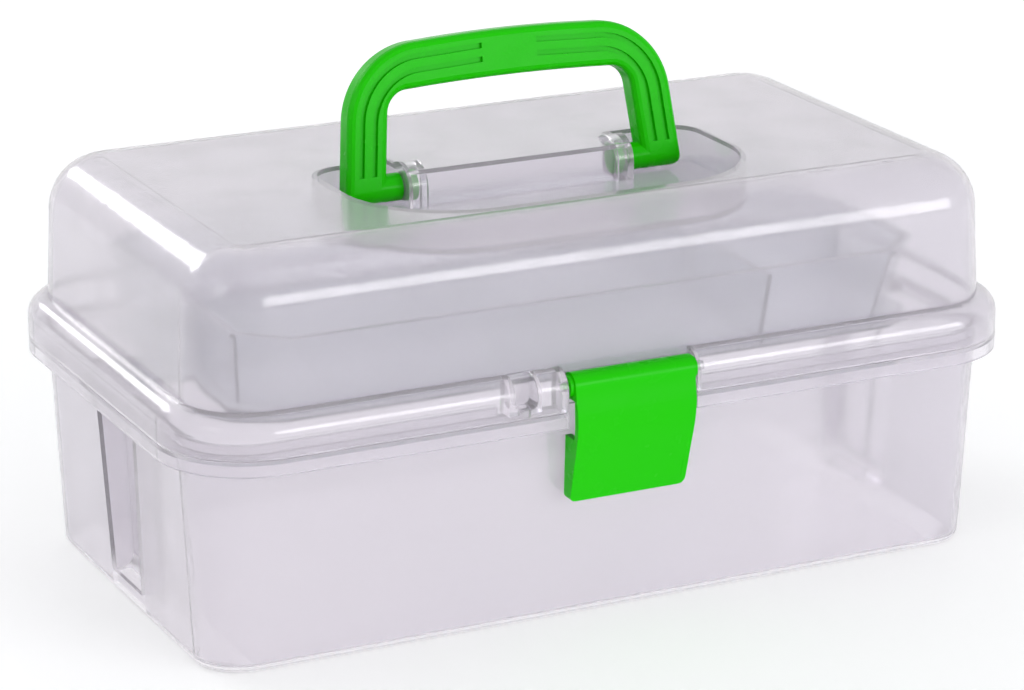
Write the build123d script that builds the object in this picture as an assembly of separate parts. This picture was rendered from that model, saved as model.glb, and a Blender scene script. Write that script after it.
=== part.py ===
from build123d import *
import os
from math import cos, radians, sin, tan

# Bead storage box in clear plastic: a drafted tub, a hinged domed lid with a sunk bail handle,
# a front latch and a lift-out tray.
# Millimetres. X runs along the long side, -Y is the latch side, +Y is the hinge side, +Z is up.
# The origin is the middle of the underside of the tub.

# Rim band shared by the tub and the lid
rim_length = 330.0
rim_depth = 192.0
rim_corner = 34.0
seam_z = 82.3
seam_gap = 0.3
wall = 2.0

# Tub, drawn in from the rim band and drafted down to its foot
flange_reach_ends = 7.3
flange_reach_sides = 9.2
tub_mouth_length = rim_length - 2 * flange_reach_ends
tub_mouth_depth = rim_depth - 2 * flange_reach_sides
tub_mouth_corner = 24.0
tub_taper_length = 7.4
tub_taper_depth = 12.6
tub_foot_length = tub_mouth_length - tub_taper_length
tub_foot_depth = tub_mouth_depth - tub_taper_depth
tub_foot_corner = 17.0
tub_foot_fillet = 3.4
floor_thickness = 2.2
flange_drop = 5.8
locating_lip_height = 3.0
lip_end_gap = 1.0

# Channel pressed into each end wall of the tub, whose top carries the tray
channel_foot_half_width = 14.5
channel_top_half_width = 18.5
channel_foot_depth = 8.0
channel_top_depth = 10.0
channel_foot_z = 8.0
channel_end_radius = 5.0
tray_shelf_z = 86.0

# Lid
lid_height = 149.3
lid_step_ends = 8.0
lid_step_sides = 8.2
lid_wall_length = rim_length - 2 * lid_step_ends
lid_wall_depth = rim_depth - 2 * lid_step_sides
lid_wall_corner = 24.0
lid_wall_z = 95.2
lid_draft = 4.0
lid_top_round = 20.0
shoulder_rise = 2.0
shoulder_round = 7.6

# Sunk well in the lid for the handle
well_half_length = 77.0
well_front_margin = 25.3
well_front = lid_wall_depth / 2 - well_front_margin
well_back = 11.0
well_front_corner = 40.0
well_back_corner = 12.0
well_depth = 13.4
land_half_length = 45.5
land_front = 7.0
land_edge_round = 2.5
boss_radius = 9.0
boss_width = 7.5

# Handle: heights are above its pivot, before it leans back
handle_pivot_drop = 7.1
handle_pivot_z = lid_height - handle_pivot_drop
handle_outer_half = 67.7
handle_splay = 6.0
handle_lean = 9.5
handle_height = 52.8
handle_leg_width = 15.5
handle_grip_height = 17.0
handle_arch_rise = 1.1
handle_outer_corner = 29.8
handle_inner_corner = 8.5
handle_foot_corner = 4.0
handle_thickness = 10.2
handle_edge_round = 2.4
handle_edge_steps = 3
handle_barrel_gap = 0.5
groove_width = 2.0
groove_depth = 1.2
groove_insets = (5.2, 10.2)
groove_start = 5.0
groove_end_x = 11.0
handle_pin_radius = 3.0
handle_head_radius = 5.5
handle_head_gap = 0.4
pin_clearance = 0.08

# Latch: each front point is how far the face stands proud of the rim band, and its height
latch_half_width = 23.6
latch_foot_half_width = 22.8
latch_front_curve = ((3.0, 82.0), (2.8, 75.0), (-0.4, 62.0), (-4.4, 47.5))
latch_foot_z = latch_front_curve[-1][1]
latch_foot_corner = 2.5
latch_plate = 2.4
latch_return_wall = 2.0
latch_foot_lean = 0.35
latch_wall_gap = 3.0
latch_pivot_y = 3.1 - rim_depth / 2
latch_pivot_z = 91.2
latch_roll_radius = 4.8
latch_barrel_radius = 3.9
latch_pin_radius = 1.5
latch_side_gap = 0.5
latch_pocket_half = 25.4
latch_flange_gap = 4.5

# Seal notch beside the latch
notch_x = -41.5
notch_width = 8.6
notch_depth = 7.0
notch_floor_z = 85.8
notch_mouth_round = 2.6
notch_hole_radius = 2.5

# Back hinge
hinge_setback = 5.2
hinge_y = rim_depth / 2 + hinge_setback
hinge_z = seam_z
hinge_barrel_radius = 4.0
hinge_pin_radius = 2.0
hinge_station_x = 84.0
hinge_lid_knuckle = 18.0
hinge_tub_knuckle = 9.0
hinge_gap = 0.4

# Lift-out tray
tray_top_z = 116.0
tray_clear_ends = 31.0
tray_clear_sides = 24.0
tray_top_length = rim_length - 2 * tray_clear_ends
tray_top_depth = rim_depth - 2 * tray_clear_sides
tray_taper_length = 8.0
tray_taper_depth = 16.0
tray_foot_length = tray_top_length - tray_taper_length
tray_foot_depth = tray_top_depth - tray_taper_depth
tray_chamfer = 15.0
tray_wall = 1.8
tray_floor = 1.8
tray_rim_width = 1.6
tray_rim_height = 1.6
tray_flange_width = 5.0
tray_flange_thickness = 1.8
tray_seat_gap = 0.1
tray_divider_x = 68.5
tray_cross_divider_y = -12.0
tray_long_divider_y = -6.0
tray_divider_drop = 3.0
tray_lug_half_width = 14.0
tray_lug_gap = 1.5
tray_grip_half_width = 6.0
tray_grip_height = 18.0

small = 0.01
overshoot = 1.0
reach = 400.0


def rounded_block(length, depth, corner, low, high):
    """Upright block with rounded plan corners between two heights."""
    face = Plane.XY.offset(low) * RectangleRounded(length, depth, corner)
    return extrude(face, high - low)


def drafted_block(foot, top, low, high):
    """Ruled block between two rounded rectangles, each given as length, depth, corner."""
    lower = Plane.XY.offset(low) * RectangleRounded(*foot)
    upper = Plane.XY.offset(high) * RectangleRounded(*top)
    return loft([lower, upper], ruled=True)


def box_between(x0, x1, y0, y1, z0, z1):
    """Plain block from its two opposite corners."""
    size = (x1 - x0, y1 - y0, z1 - z0)
    middle = ((x0 + x1) / 2, (y0 + y1) / 2, (z0 + z1) / 2)
    return Pos(*middle) * Box(*size)


def rod_x(x0, x1, y, z, radius):
    """Round rod along X."""
    return Pos((x0 + x1) / 2, y, z) * Rot(0, 90, 0) * Cylinder(radius, abs(x1 - x0))


def turn(middle_x, middle_z, radius, start, end):
    """Three points of an arc round a middle, from one angle in degrees to another."""
    angles = (start, (start + end) / 2, end)
    return [(middle_x + radius * cos(radians(a)), middle_z + radius * sin(radians(a))) for a in angles]


def face_of(runs):
    """Face inside a closed outline of runs, each two points of a line or three of an arc."""
    edges = [Line(*run) if len(run) == 2 else ThreePointArc(*run) for run in runs]
    return make_face(Wire(edges))


def mouth_size_at(z, inset):
    """Tub outline at height z, drawn in by inset, as length, depth, corner."""
    share = z / seam_z
    length = tub_foot_length + (tub_mouth_length - tub_foot_length) * share - 2 * inset
    depth = tub_foot_depth + (tub_mouth_depth - tub_foot_depth) * share - 2 * inset
    corner = tub_foot_corner + (tub_mouth_corner - tub_foot_corner) * share - inset
    return length, depth, corner


def tub_wall_y(z):
    """Outer face of the tub's front wall at height z."""
    return -mouth_size_at(z, 0)[1] / 2


def tub_skin(inset, low, high):
    """Drafted body of the tub, drawn in by inset."""
    return drafted_block(mouth_size_at(low, inset), mouth_size_at(high, inset), low, high)


def channel_block(side, grow, low, high):
    """Upright wedge in an end wall: the channel itself, or its skin when grown by a wall."""
    end_x = tub_mouth_length / 2 + overshoot
    foot_x = tub_foot_length / 2 - channel_foot_depth - grow
    top_x = tub_mouth_length / 2 - channel_top_depth - grow

    def section(z, inner_x, half_width):
        return Plane.XY.offset(z) * Pos(side * (inner_x + end_x) / 2, 0) * Rectangle(
            end_x - inner_x, 2 * (half_width + grow)
        )

    lower = section(low, foot_x, channel_foot_half_width)
    upper = section(high, top_x, channel_top_half_width)
    return loft([lower, upper], ruled=True)


def tub_hinge_knuckles():
    """Pairs of bored knuckles on the back of the tub's flange, with their webs."""
    knuckles = []
    half = hinge_lid_knuckle / 2 + hinge_gap
    flange_back = rim_depth / 2
    for station in (-hinge_station_x, hinge_station_x):
        for side in (-1, 1):
            near = station + side * half
            far = near + side * hinge_tub_knuckle
            low_x, high_x = sorted((near, far))
            barrel = rod_x(low_x, high_x, hinge_y, hinge_z, hinge_barrel_radius)
            web = box_between(
                low_x, high_x, flange_back - wall, hinge_y, seam_z - flange_drop, hinge_z - seam_gap
            )
            bore_radius = hinge_pin_radius + pin_clearance
            bore = rod_x(low_x - overshoot, high_x + overshoot, hinge_y, hinge_z, bore_radius)
            knuckles.append(barrel + web - bore)
    return knuckles


def make_tub():
    body = tub_skin(0, 0, seam_z)
    foot_edges = body.edges().filter_by(lambda e: abs(e.center().Z) < small)
    body = fillet(foot_edges, tub_foot_fillet)
    hollow = tub_skin(wall, floor_thickness, seam_z + overshoot)
    inner_edges = hollow.edges().filter_by(lambda e: abs(e.center().Z - floor_thickness) < small)
    hollow = fillet(inner_edges, tub_foot_fillet - wall)
    tub = body - hollow

    flange_low = seam_z - flange_drop
    skirt_top = seam_z - wall
    flange = rounded_block(rim_length, rim_depth, rim_corner, flange_low, seam_z)
    under = rounded_block(
        rim_length - 2 * wall, rim_depth - 2 * wall, rim_corner - wall, flange_low - overshoot, skirt_top
    )
    mouth = tub_skin(wall, flange_low - 2 * overshoot, seam_z + locating_lip_height + overshoot)
    keep_wall = tub_skin(0, flange_low - overshoot, skirt_top)
    flange = flange - (under - keep_wall)
    flange = flange - box_between(
        -latch_pocket_half, latch_pocket_half, -rim_depth, tub_wall_y(flange_low),
        flange_low - overshoot, seam_z + overshoot,
    )
    lip = tub_skin(0, seam_z - small, seam_z + locating_lip_height)
    lip_gap_left = notch_x - notch_width / 2 - wall - lip_end_gap
    lip_gap_right = latch_pocket_half + wall + lip_end_gap
    lip = lip - box_between(
        lip_gap_left, lip_gap_right, -rim_depth, -tub_mouth_depth / 2 + 2 * wall,
        seam_z, seam_z + 2 * locating_lip_height,
    )
    tub = tub + (flange + lip - mouth)

    for side in (-1, 1):
        skin = channel_block(side, wall, floor_thickness / 2, tray_shelf_z)
        inside = tub_skin(wall / 2, floor_thickness / 2, tray_shelf_z)
        tub = tub + (skin & inside)
        groove = channel_block(side, 0, channel_foot_z, skirt_top)
        low_edges = groove.edges().filter_by(Axis.Y).sort_by(Axis.Z)[:2]
        inner_low = low_edges.sort_by(lambda e: abs(e.center().X))[0]
        groove = fillet([inner_low], channel_end_radius)
        tub = tub - groove

    for knuckle in tub_hinge_knuckles():
        tub = tub + knuckle
    return tub


def dome_block(inset):
    """Domed part of the lid, its top rolled over all round, drawn in by inset."""
    low = seam_z + seam_gap
    top = lid_height - inset
    run = lid_height - lid_wall_z

    def wall_size(z):
        lean = lid_draft * (z - lid_wall_z) / run
        return (
            lid_wall_length - lean - 2 * inset,
            lid_wall_depth - lean - 2 * inset,
            lid_wall_corner - inset,
        )

    dome = drafted_block(wall_size(low), wall_size(top), low, top)
    rim = dome.edges().filter_by(lambda e: abs(e.center().Z - top) < small)
    return fillet(rim, lid_top_round - inset)


def skirt_block(inset):
    """Rim band of the lid with its rolled shoulder, drawn in by inset."""
    top = lid_wall_z + shoulder_rise - inset
    block = rounded_block(
        rim_length - 2 * inset, rim_depth - 2 * inset, rim_corner - inset, seam_z + seam_gap, top
    )
    edges = block.edges().filter_by(lambda e: abs(e.center().Z - top) < small)
    return fillet(edges, shoulder_round - inset)


def well_block(grow):
    """Sunk handle well: the hollow itself, or its skin when grown by a wall."""
    length = 2 * (well_half_length + grow)
    depth = well_front + well_back + 2 * grow
    middle_y = (well_back - well_front) / 2
    floor = lid_height - well_depth - grow
    above = lid_height + overshoot
    plan = Pos(0, middle_y) * Rectangle(length, depth)
    corners = plan.vertices().sort_by(Axis.Y)
    plan = fillet(corners[:2], well_front_corner + grow)
    corners = plan.vertices().sort_by(Axis.Y)
    plan = fillet(corners[-2:], well_back_corner + grow)
    hollow = extrude(Plane.XY.offset(floor) * plan, above - floor)
    land = box_between(
        -land_half_length + grow, land_half_length - grow,
        -land_front + grow, 2 * well_back, floor - overshoot, above + overshoot,
    )
    upright = land.edges().filter_by(Axis.Z).sort_by(Axis.Y)[:2]
    land = fillet(upright, land_edge_round)
    return hollow - land


def boss_block(side, shrink):
    """Arched bearing block at one end of the land, or its hollow when shrunk by a wall."""
    outer_x = side * (land_half_length - shrink)
    inner_x = side * (land_half_length - boss_width + shrink)
    low_x, high_x = sorted((outer_x, inner_x))
    radius = boss_radius - shrink
    base_z = lid_height - well_depth - (wall + overshoot if shrink else 0)
    arch = rod_x(low_x, high_x, 0, handle_pivot_z, radius)
    block = box_between(low_x, high_x, -radius, radius, base_z, handle_pivot_z)
    return arch + block


def latch_pocket(grow):
    """Gap in the rim band where the latch sits."""
    wall_y = -(lid_wall_depth / 2 - grow)
    half = latch_pocket_half + grow
    return box_between(-half, half, -rim_depth, wall_y, seam_z - overshoot, lid_wall_z + shoulder_round)


def seal_notch(grow):
    """Small open notch in the rim band for a seal or padlock."""
    half = notch_width / 2 + grow
    back = -(rim_depth / 2 - notch_depth - grow)
    above = lid_wall_z + shoulder_round
    block = box_between(notch_x - half, notch_x + half, -rim_depth, back, notch_floor_z - grow, above)
    if grow:
        return block
    low_edges = block.edges().filter_by(Axis.Y).sort_by(Axis.Z)[:2]
    return fillet(low_edges, notch_mouth_round)


def lid_hinge_knuckles():
    """Middle knuckles on the back of the lid, each with its own pin."""
    knuckles = []
    skirt_back = rim_depth / 2
    half = hinge_lid_knuckle / 2
    reach = half + hinge_gap + hinge_tub_knuckle
    for station in (-hinge_station_x, hinge_station_x):
        barrel = rod_x(station - half, station + half, hinge_y, hinge_z, hinge_barrel_radius)
        web = box_between(
            station - half, station + half, skirt_back - wall, hinge_y,
            seam_z + seam_gap, hinge_z + hinge_barrel_radius,
        )
        pin = rod_x(station - reach, station + reach, hinge_y, hinge_z, hinge_pin_radius)
        knuckles.append(barrel + web + pin)
    return knuckles


def make_lid():
    outer = dome_block(0) + skirt_block(0)
    outer = outer - latch_pocket(0) - seal_notch(0) - well_block(0)
    for side in (-1, 1):
        outer = outer + boss_block(side, 0)
    inner = dome_block(wall) + skirt_block(wall)
    below = box_between(-reach, reach, -reach, reach, 0, seam_z + seam_gap + small)
    inner = inner - latch_pocket(wall) - seal_notch(wall) - well_block(wall)
    for side in (-1, 1):
        inner = inner + boss_block(side, wall)
    lid = outer - inner - below
    for side in (-1, 1):
        bore_start = side * (land_half_length - wall - overshoot)
        bore_end = side * (land_half_length + overshoot)
        lid = lid - rod_x(bore_start, bore_end, 0, handle_pivot_z, handle_pin_radius + pin_clearance)
        ear_start = side * (latch_pocket_half - overshoot)
        ear_end = side * (latch_pocket_half + wall + overshoot)
        lid = lid - rod_x(ear_start, ear_end, latch_pivot_y, latch_pivot_z, latch_pin_radius + pin_clearance)
    hole_y = -(rim_depth - notch_depth) / 2
    hole = Pos(notch_x, hole_y, notch_floor_z - wall / 2) * Cylinder(notch_hole_radius, 2 * wall)
    lid = lid - hole
    for knuckle in lid_hinge_knuckles():
        lid = lid + knuckle
    return lid


def leg_x(z, inset):
    """Outer edge of the right leg at height z, drawn in by inset across the leg."""
    splay = radians(handle_splay)
    return handle_outer_half - (z - handle_pivot_z) * tan(splay) - inset / cos(splay)


def bail_middles():
    """Middles of the round outer and inner corners of the handle, as x and z."""
    top = handle_pivot_z + handle_height - handle_arch_rise
    outer_z = top - handle_outer_corner
    outer_x = leg_x(outer_z, handle_outer_corner)
    inner_z = top - handle_grip_height - handle_inner_corner
    inner_x = leg_x(inner_z, handle_leg_width + handle_inner_corner)
    return (outer_x, outer_z), (inner_x, inner_z)


def handle_outline(inset):
    """Closed bail outline in the XZ plane, drawn in from every edge by inset."""
    outer, inner = bail_middles()
    foot_z = handle_pivot_z - handle_thickness / 2
    foot_middle_z = foot_z + handle_foot_corner
    foot_middle_x = leg_x(foot_middle_z, handle_foot_corner)
    foot_radius = handle_foot_corner - inset
    foot_end = (leg_x(foot_z, handle_leg_width - inset), foot_z + inset)
    corner = turn(*outer, handle_outer_corner - inset, 90, handle_splay)
    foot_turn = turn(foot_middle_x, foot_middle_z, foot_radius, handle_splay, -90)
    inner_turn = turn(*inner, handle_inner_corner + inset, handle_splay, 90)
    right = [
        corner, [corner[-1], foot_turn[0]], foot_turn, [foot_turn[-1], foot_end],
        [foot_end, inner_turn[0]], inner_turn,
    ]
    left = [[(-x, z) for x, z in reversed(run)] for run in reversed(right)]
    arch_top = (0, corner[0][1] + handle_arch_rise)
    arch_under = (0, inner_turn[-1][1] + handle_arch_rise)
    arch = [left[-1][-1], arch_top, corner[0]]
    under = [inner_turn[-1], arch_under, left[0][0]]
    return face_of([arch] + right + [under] + left)


def groove_cutter(inset, side):
    """Thin curved bar that follows the bail at a fixed inset from its outer edge."""
    middle = bail_middles()[0]
    near = turn(*middle, handle_outer_corner - inset + groove_width / 2, handle_splay, 90)
    far = turn(*middle, handle_outer_corner - inset - groove_width / 2, 90, handle_splay)
    start_z = handle_pivot_z + groove_start
    start_near = (leg_x(start_z, inset - groove_width / 2), start_z)
    start_far = (leg_x(start_z, inset + groove_width / 2), start_z)
    end_near = (groove_end_x, near[-1][1] + handle_arch_rise)
    end_far = (groove_end_x, far[0][1] + handle_arch_rise)
    face = face_of([
        [start_near, near[0]], near, [near[-1], end_near], [end_near, end_far],
        [end_far, far[0]], far, [far[-1], start_far], [start_far, start_near],
    ])
    bar = extrude(Plane.XZ * face, groove_depth + overshoot)
    bar = Pos(0, groove_depth - handle_thickness / 2, 0) * bar
    return bar if side > 0 else mirror(bar, Plane.YZ)


def rounded_bail():
    """Bail with its front and back edges rounded in even steps."""
    half = handle_thickness / 2
    core_half = half - handle_edge_round
    bail = extrude(Plane.XZ * handle_outline(0), core_half, both=True)
    for step in range(handle_edge_steps):
        angles = [radians(90 * (step + more) / handle_edge_steps) for more in (0, 1)]
        insets = [handle_edge_round * (1 - cos(a)) for a in angles]
        depths = [core_half + handle_edge_round * sin(a) for a in angles]
        for side in (-1, 1):
            sections = [
                Plane.XZ.offset(side * depth) * handle_outline(inset) for inset, depth in zip(insets, depths)
            ]
            bail = bail + loft(sections, ruled=True)
    return bail


def make_handle():
    bail = rounded_bail()
    barrel_radius = handle_thickness / 2
    foot_z = handle_pivot_z - barrel_radius
    for side in (-1, 1):
        low_x, high_x = sorted((0, side * (handle_outer_half + overshoot)))
        trim = box_between(
            low_x, high_x, -handle_thickness, handle_thickness, foot_z - overshoot, handle_pivot_z
        )
        bail = bail - (trim - rod_x(low_x, high_x, 0, handle_pivot_z, barrel_radius))
        root_x = side * (handle_outer_half - handle_leg_width / 2)
        barrel_x = side * (land_half_length + handle_barrel_gap)
        pin_x = side * (land_half_length - wall - handle_head_gap)
        head_x = side * (land_half_length - boss_width + wall + handle_head_gap)
        bail = bail + rod_x(barrel_x, root_x, 0, handle_pivot_z, barrel_radius)
        bail = bail + rod_x(head_x, root_x, 0, handle_pivot_z, handle_pin_radius)
        bail = bail + rod_x(head_x, pin_x, 0, handle_pivot_z, handle_head_radius)
        for inset in groove_insets:
            bail = bail - groove_cutter(inset, side)
    return Pos(0, 0, handle_pivot_z) * Rot(-handle_lean, 0, 0) * Pos(0, 0, -handle_pivot_z) * bail


def latch_front_points(shift):
    """Front of the latch from its roll down to its foot, in YZ, moved back by shift."""
    return [(shift - rim_depth / 2 - proud, z) for proud, z in latch_front_curve]


def latch_shell():
    """Outer form of the latch, solid to the back, narrowing to its rounded foot."""
    roll_front = (latch_pivot_y - latch_roll_radius, latch_pivot_z)
    front = [roll_front] + latch_front_points(0)
    roll_top = (latch_pivot_y, latch_pivot_z + latch_roll_radius)
    back_y = -lid_wall_depth / 2 + wall
    back_low_y = -tub_foot_depth / 2
    outline = [
        ThreePointArc(*turn(latch_pivot_y, latch_pivot_z, latch_roll_radius, 90, 180)),
        Spline(*front, tangents=[(0, -1), (latch_foot_lean, -1)]),
        Line(front[-1], (back_low_y, latch_foot_z)),
        Line((back_low_y, latch_foot_z), (back_low_y, roll_top[1])),
        Line((back_low_y, roll_top[1]), roll_top),
    ]
    shell = extrude(Plane.YZ * make_face(Wire(outline)), latch_pocket_half, both=True)
    foot_half = latch_foot_half_width
    half = latch_half_width
    mask = make_face(Polyline(
        (-foot_half, latch_foot_z), (foot_half, latch_foot_z), (half, roll_top[1]), (-half, roll_top[1]),
        close=True,
    ))
    mask = fillet(mask.vertices().sort_by(Axis.Y)[:2], latch_foot_corner)
    return shell & extrude(Plane.XZ * mask, reach, both=True)


def latch_plate_block():
    """Front plate of the latch with the roll at its top, in one thickness."""
    roll_front = (latch_pivot_y - latch_roll_radius, latch_pivot_z)
    front = [roll_front] + latch_front_points(0)
    back = latch_front_points(latch_plate)
    over = turn(latch_pivot_y, latch_pivot_z, latch_roll_radius, 180, 0)
    down = turn(latch_pivot_y, latch_pivot_z, latch_roll_radius, 0, -90)
    roll_low = down[-1]
    knee = (back[0][0], roll_low[1])
    outline = [
        ThreePointArc(roll_front, over[1], over[2]),
        ThreePointArc(over[2], down[1], roll_low),
        Line(roll_low, knee),
        Line(knee, back[0]),
        Spline(*back, tangents=[(0, -1), (latch_foot_lean, -1)]),
        Line(back[-1], front[-1]),
        Spline(*reversed(front), tangents=[(-latch_foot_lean, 1), (0, 1)]),
    ]
    return extrude(Plane.YZ * make_face(Wire(outline)), latch_pocket_half, both=True)


def latch_web(low_x, high_x, low_z, high_z):
    """Web of the latch that reaches back to just short of the tub's front wall."""
    front_y = -rim_depth
    face = make_face(Polyline(
        (front_y, low_z), (tub_wall_y(low_z) - latch_wall_gap, low_z),
        (tub_wall_y(high_z) - latch_wall_gap, high_z), (front_y, high_z), close=True,
    ))
    return Pos(low_x, 0, 0) * extrude(Plane.YZ * face, high_x - low_x)


def make_latch():
    shell = latch_shell()
    web_top = seam_z - flange_drop - latch_flange_gap
    half = latch_half_width
    inner = latch_foot_half_width - latch_return_wall
    body = latch_plate_block()
    body = body + latch_web(-half, -inner, latch_foot_z, web_top)
    body = body + latch_web(inner, half, latch_foot_z, web_top)
    body = body + latch_web(-half, half, latch_foot_z, latch_foot_z + latch_return_wall)
    body = body & (shell + rod_x(-half, half, latch_pivot_y, latch_pivot_z, latch_roll_radius))
    barrel_half = latch_pocket_half - latch_side_gap
    body = body + rod_x(-barrel_half, barrel_half, latch_pivot_y, latch_pivot_z, latch_barrel_radius)
    pin_reach = latch_pocket_half + wall - latch_side_gap
    return body + rod_x(-pin_reach, pin_reach, latch_pivot_y, latch_pivot_z, latch_pin_radius)


def chamfered_face(length, depth, cut, z):
    """Rectangle with its four corners cut off."""
    rect = Rectangle(length, depth)
    return Plane.XY.offset(z) * chamfer(rect.vertices(), cut)


def tray_skin(inset, low, high):
    """Drafted body of the tray, drawn in by inset."""
    run = tray_top_z - tray_shelf_z

    def size_at(z):
        share = (z - tray_shelf_z) / run
        length = tray_foot_length + (tray_top_length - tray_foot_length) * share - 2 * inset
        depth = tray_foot_depth + (tray_top_depth - tray_foot_depth) * share - 2 * inset
        return length, depth

    cut = tray_chamfer - inset * 2 * (1 - sin(radians(45)))
    lower = chamfered_face(*size_at(low), cut, low)
    upper = chamfered_face(*size_at(high), cut, high)
    return loft([lower, upper], ruled=True)


def make_tray():
    foot_z = tray_shelf_z + tray_seat_gap
    body = tray_skin(0, foot_z, tray_top_z)
    rim = tray_skin(-tray_rim_width, tray_top_z - tray_rim_height, tray_top_z)
    hollow = tray_skin(tray_wall, foot_z + tray_floor, tray_top_z + overshoot)
    tray = body + rim - hollow

    divider_top = tray_top_z - tray_divider_drop
    half = tray_wall / 2
    span = tray_skin(tray_wall / 2, foot_z + tray_floor / 2, divider_top)
    cross = box_between(tray_divider_x - half, tray_divider_x + half, -reach, reach, foot_z, divider_top)
    right = box_between(
        tray_divider_x, reach, tray_cross_divider_y - half, tray_cross_divider_y + half, foot_z, divider_top
    )
    left = box_between(
        -reach, tray_divider_x, tray_long_divider_y - half, tray_long_divider_y + half, foot_z, divider_top
    )
    for divider in (cross, right, left):
        tray = tray + (divider & span)

    flange_length = tray_foot_length + 2 * tray_flange_width
    flange_depth = tray_foot_depth + 2 * tray_flange_width
    flange = extrude(chamfered_face(flange_length, flange_depth, tray_chamfer, foot_z), tray_flange_thickness)
    tray = tray + flange
    lug_end = tub_mouth_length / 2 - wall - tray_lug_gap
    for side in (-1, 1):
        root = side * (tray_foot_length / 2 - tray_wall / 2)
        tip = side * lug_end
        low_x, high_x = sorted((root, tip))
        lug = box_between(
            low_x, high_x, -tray_lug_half_width, tray_lug_half_width, foot_z, foot_z + tray_flange_thickness
        )
        tray = tray + lug
        grip_x = side * (tray_foot_length / 2 + tray_flange_width)
        low_x, high_x = sorted((grip_x, grip_x + side * tray_wall))
        grip = box_between(
            low_x, high_x, -tray_grip_half_width, tray_grip_half_width, foot_z, foot_z + tray_grip_height
        )
        tray = tray + grip
    return tray


def main():
    os.makedirs("parts", exist_ok=True)
    pieces = {
        "storage_tub": make_tub(),
        "domed_lid": make_lid(),
        "carry_handle": make_handle(),
        "front_latch": make_latch(),
        "lift_out_tray": make_tray(),
    }
    for name, piece in pieces.items():
        export_step(piece, f"parts/{name}.step")


main()
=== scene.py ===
import math

import bpy
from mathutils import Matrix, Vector

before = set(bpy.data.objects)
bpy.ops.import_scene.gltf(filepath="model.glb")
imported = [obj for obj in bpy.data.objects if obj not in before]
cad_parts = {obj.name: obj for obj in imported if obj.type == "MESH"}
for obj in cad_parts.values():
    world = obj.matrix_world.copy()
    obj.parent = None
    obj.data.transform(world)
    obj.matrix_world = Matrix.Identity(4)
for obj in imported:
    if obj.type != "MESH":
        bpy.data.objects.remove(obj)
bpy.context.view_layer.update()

# The photograph's view: a long lens, front left, looking slightly down
PHOTO_WIDTH = 1024
PHOTO_FOCAL_PIXELS = 3748.0
SENSOR_WIDTH = 36.0
CAMERA_PLACE = Vector((-0.5834, -1.1868, 0.5076))
CAMERA_HEADING = math.radians(26.17)
CAMERA_DIP = math.radians(18.10)
CAMERA_REACH = 50.0

# Surround and floor
SURROUND_WHITE = (1, 1, 1, 1)
SURROUND_STRENGTH = 1.0
DAYLIGHT_COLOUR = (0.97, 0.98, 1.0, 1)
DAYLIGHT = 0.62
FLOOR_REACH = 6.0
FLOOR_COLOUR = (0.93, 0.93, 0.93, 1)
FLOOR_ROUGHNESS = 0.6
FLOOR_GLOSS = 0.2
FLOOR_GLOW = 0.3

# Softboxes: name, place, width and height, radiance in units of plain white
LIGHT_AIM = Vector((0, 0, 0.1))
SOFTBOXES = [
    ("front_box", (0.85, -1.75, 0.55), (1.5, 0.6), 5.0),
    ("back_box", (-0.75, 1.8, 1.05), (0.9, 0.5), 6.0),
    ("left_box", (-1.9, -0.7, 1.3), (0.8, 0.8), 1.6),
]

# Moulded polypropylene, clear and green; noise scales are per metre
PLASTIC_IOR = 1.49
NOISE_LOW = 0.3
NOISE_HIGH = 0.7

CLEAR_TINT = (0.955, 0.925, 0.962, 1.0)
CLEAR_SHADE = (0.92, 0.895, 0.948, 1.0)
CLEAR_HAZE = 0.18
TRAY_TINT = (0.93, 0.945, 0.975, 1.0)
TRAY_SHADE = (0.90, 0.92, 0.95, 1.0)
TRAY_HAZE = 0.14
CLEAR_ROUGHNESS = (0.09, 0.17)
FLOW_SCALE = 9.0
FLOW_STRETCH = (1.0, 1.0, 0.5)
FLOW_DETAIL = 3.0
SCUFF_SCALE = 60.0
SCUFF_DETAIL = 4.0
CLEAR_RIPPLE_SCALE = 22.0
CLEAR_RIPPLE_HEIGHT = 0.0006

GREEN = (0.016, 0.6, 0.0, 1.0)
GREEN_DEEP = (0.011, 0.53, 0.0, 1.0)
GREEN_ROUGHNESS = (0.2, 0.3)
GREEN_GLOSS = 0.1
DRIFT_SCALE = 14.0
DRIFT_DETAIL = 3.0
RUB_SCALE = 90.0
RUB_DETAIL = 3.0
GREEN_RIPPLE_SCALE = 260.0
GREEN_RIPPLE_HEIGHT = 0.0003

RIPPLE_DETAIL = 2.0
RIPPLE_STRENGTH = 0.12

LATCH_EDGE_ROUND = 0.0009
EDGE_ANGLE = math.radians(50)
EDGE_SEGMENTS = 3

# Light bounces: the clear walls lie many deep
ALL_BOUNCES = 28
CLEAR_BOUNCES = 24
GLOSSY_BOUNCES = 6
DIFFUSE_BOUNCES = 4


def new_material(name):
    """Empty node material with its Principled shader."""
    material = bpy.data.materials.new(name)
    material.use_nodes = True
    tree = material.node_tree
    return material, tree, tree.nodes["Principled BSDF"]


def noise(tree, scale, detail, stretch=(1.0, 1.0, 1.0)):
    """Noise in object space, optionally stretched along an axis."""
    place = tree.nodes.new("ShaderNodeTexCoord")
    mapping = tree.nodes.new("ShaderNodeMapping")
    mapping.inputs["Scale"].default_value = stretch
    tree.links.new(place.outputs["Object"], mapping.inputs["Vector"])
    node = tree.nodes.new("ShaderNodeTexNoise")
    node.inputs["Scale"].default_value = scale
    node.inputs["Detail"].default_value = detail
    tree.links.new(mapping.outputs["Vector"], node.inputs["Vector"])
    return node.outputs["Fac"]


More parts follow.
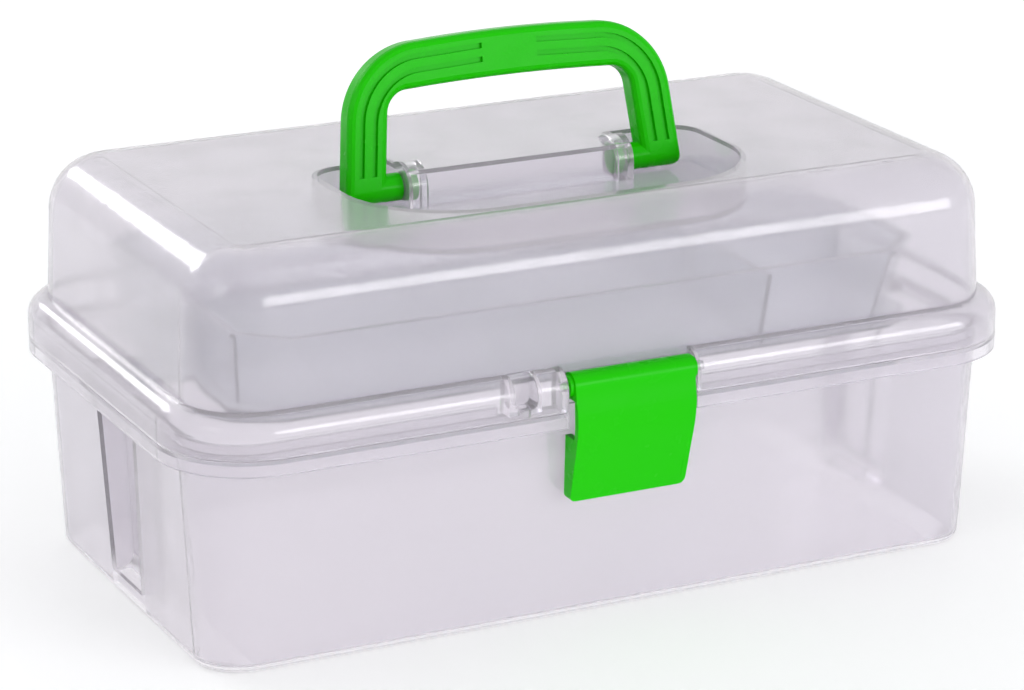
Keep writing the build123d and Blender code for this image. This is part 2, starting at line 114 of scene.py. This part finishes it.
def spread(tree, value, low, high):
    """Maps the middle stretch of a noise value onto a range."""
    node = tree.nodes.new("ShaderNodeMapRange")
    node.inputs["From Min"].default_value = NOISE_LOW
    node.inputs["From Max"].default_value = NOISE_HIGH
    node.inputs["To Min"].default_value = low
    node.inputs["To Max"].default_value = high
    tree.links.new(value, node.inputs["Value"])
    return node.outputs["Result"]


def ripple(tree, shader, scale, height):
    """Faint orange peel of moulded plastic, as a bump."""
    bump = tree.nodes.new("ShaderNodeBump")
    bump.inputs["Strength"].default_value = RIPPLE_STRENGTH
    bump.inputs["Distance"].default_value = height
    tree.links.new(noise(tree, scale, RIPPLE_DETAIL), bump.inputs["Height"])
    tree.links.new(bump.outputs["Normal"], shader.inputs["Normal"])


def blend_colours(tree, factor, first, second):
    """Mixes two colours by a value."""
    mix = tree.nodes.new("ShaderNodeMix")
    mix.data_type = "RGBA"
    mix.inputs["A"].default_value = first
    mix.inputs["B"].default_value = second
    tree.links.new(factor, mix.inputs["Factor"])
    return mix.outputs["Result"]


def clear_plastic(name, tint, shade, haze):
    """Clear polypropylene: see-through, faintly milky, with flow marks and fine scuffs."""
    material, tree, shader = new_material(name)
    flow = noise(tree, FLOW_SCALE, FLOW_DETAIL, FLOW_STRETCH)
    tree.links.new(blend_colours(tree, flow, tint, shade), shader.inputs["Base Color"])
    scuffs = noise(tree, SCUFF_SCALE, SCUFF_DETAIL)
    tree.links.new(spread(tree, scuffs, *CLEAR_ROUGHNESS), shader.inputs["Roughness"])
    shader.inputs["Transmission Weight"].default_value = 1.0 - haze
    shader.inputs["IOR"].default_value = PLASTIC_IOR
    ripple(tree, shader, CLEAR_RIPPLE_SCALE, CLEAR_RIPPLE_HEIGHT)
    return material


def green_plastic(name):
    """Glossy bright green polypropylene with slight colour drift."""
    material, tree, shader = new_material(name)
    drift = noise(tree, DRIFT_SCALE, DRIFT_DETAIL)
    tree.links.new(blend_colours(tree, drift, GREEN, GREEN_DEEP), shader.inputs["Base Color"])
    rubs = noise(tree, RUB_SCALE, RUB_DETAIL)
    tree.links.new(spread(tree, rubs, *GREEN_ROUGHNESS), shader.inputs["Roughness"])
    shader.inputs["IOR"].default_value = PLASTIC_IOR
    shader.inputs["Specular IOR Level"].default_value = GREEN_GLOSS
    ripple(tree, shader, GREEN_RIPPLE_SCALE, GREEN_RIPPLE_HEIGHT)
    return material


def dress(name, material):
    """Gives a CAD node its material."""
    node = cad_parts[name]
    node.data.materials.clear()
    node.data.materials.append(material)
    return node


def soften_edges(node, width):
    """Small rounding of a node's sharp edges."""
    bevel = node.modifiers.new("soft_edges", "BEVEL")
    bevel.width = width
    bevel.segments = EDGE_SEGMENTS
    bevel.limit_method = "ANGLE"
    bevel.angle_limit = EDGE_ANGLE


def light_path_mask(tree, outputs):
    """1 where the ray is any of the named kinds."""
    path = tree.nodes.new("ShaderNodeLightPath")
    total = path.outputs[outputs[0]]
    for output in outputs[1:]:
        add = tree.nodes.new("ShaderNodeMath")
        add.operation = "MAXIMUM"
        tree.links.new(total, add.inputs[0])
        tree.links.new(path.outputs[output], add.inputs[1])
        total = add.outputs[0]
    return total


def make_world():
    """White surround for what the camera, gloss and clear plastic see, plain daylight for the rest."""
    world = bpy.data.worlds.new("studio")
    bpy.context.scene.world = world
    world.use_nodes = True
    tree = world.node_tree
    tree.nodes.clear()
    shown = tree.nodes.new("ShaderNodeBackground")
    shown.inputs["Color"].default_value = SURROUND_WHITE
    shown.inputs["Strength"].default_value = SURROUND_STRENGTH
    lit = tree.nodes.new("ShaderNodeBackground")
    lit.inputs["Color"].default_value = DAYLIGHT_COLOUR
    lit.inputs["Strength"].default_value = DAYLIGHT
    mix = tree.nodes.new("ShaderNodeMixShader")
    out = tree.nodes.new("ShaderNodeOutputWorld")
    seen = light_path_mask(tree, ["Is Camera Ray", "Is Glossy Ray", "Is Transmission Ray"])
    tree.links.new(seen, mix.inputs["Fac"])
    tree.links.new(lit.outputs[0], mix.inputs[1])
    tree.links.new(shown.outputs[0], mix.inputs[2])
    tree.links.new(mix.outputs[0], out.inputs["Surface"])


def make_floor():
    """Plain pale floor that keeps the box's shadow."""
    mesh = bpy.data.meshes.new("floor")
    reach = FLOOR_REACH
    corners = [(-reach, -reach, 0), (reach, -reach, 0), (reach, reach, 0), (-reach, reach, 0)]
    mesh.from_pydata(corners, [], [(0, 1, 2, 3)])
    floor = bpy.data.objects.new("floor", mesh)
    bpy.context.scene.collection.objects.link(floor)
    material, tree, shader = new_material("floor_white")
    shader.inputs["Base Color"].default_value = FLOOR_COLOUR
    shader.inputs["Roughness"].default_value = FLOOR_ROUGHNESS
    shader.inputs["Specular IOR Level"].default_value = FLOOR_GLOSS
    glow = tree.nodes.new("ShaderNodeEmission")
    glow.inputs["Strength"].default_value = FLOOR_GLOW
    add = tree.nodes.new("ShaderNodeAddShader")
    tree.links.new(shader.outputs[0], add.inputs[0])
    tree.links.new(glow.outputs[0], add.inputs[1])
    out = tree.nodes["Material Output"]
    tree.links.new(add.outputs[0], out.inputs["Surface"])
    mesh.materials.append(material)


def softbox(name, place, size, radiance):
    """Soft rectangular studio light that faces the box."""
    data = bpy.data.lights.new(name, "AREA")
    data.shape = "RECTANGLE"
    data.size, data.size_y = size
    data.energy = radiance * math.pi * size[0] * size[1]
    light = bpy.data.objects.new(name, data)
    light.location = place
    light.rotation_euler = (LIGHT_AIM - Vector(place)).to_track_quat("-Z", "Y").to_euler()
    bpy.context.scene.collection.objects.link(light)


def make_camera():
    """Camera at the photograph's place and angle."""
    data = bpy.data.cameras.new("camera")
    data.sensor_width = SENSOR_WIDTH
    data.lens = PHOTO_FOCAL_PIXELS / PHOTO_WIDTH * SENSOR_WIDTH
    data.clip_end = CAMERA_REACH
    camera = bpy.data.objects.new("camera", data)
    heading = Vector((
        math.sin(CAMERA_HEADING) * math.cos(CAMERA_DIP),
        math.cos(CAMERA_HEADING) * math.cos(CAMERA_DIP),
        -math.sin(CAMERA_DIP),
    ))
    camera.location = CAMERA_PLACE
    camera.rotation_euler = heading.to_track_quat("-Z", "Y").to_euler()
    bpy.context.scene.collection.objects.link(camera)
    bpy.context.scene.camera = camera


def dress_nodes():
    """Clear plastic for the tub, lid and tray, green for the handle and latch."""
    dress("storage_tub", clear_plastic("clear_tub", CLEAR_TINT, CLEAR_SHADE, CLEAR_HAZE))
    dress("domed_lid", clear_plastic("clear_lid", CLEAR_TINT, CLEAR_SHADE, CLEAR_HAZE))
    dress("lift_out_tray", clear_plastic("clear_tray", TRAY_TINT, TRAY_SHADE, TRAY_HAZE))
    dress("carry_handle", green_plastic("green_handle"))
    latch = dress("front_latch", green_plastic("green_latch"))
    soften_edges(latch, LATCH_EDGE_ROUND)


def set_view():
    """Plain view transform, and enough light bounces for the stacked clear walls."""
    scene = bpy.context.scene
    scene.view_settings.view_transform = "Standard"
    scene.cycles.max_bounces = ALL_BOUNCES
    scene.cycles.transmission_bounces = CLEAR_BOUNCES
    scene.cycles.transparent_max_bounces = CLEAR_BOUNCES
    scene.cycles.glossy_bounces = GLOSSY_BOUNCES
    scene.cycles.diffuse_bounces = DIFFUSE_BOUNCES


set_view()
make_camera()
make_world()
make_floor()
for box in SOFTBOXES:
    softbox(*box)
dress_nodes()
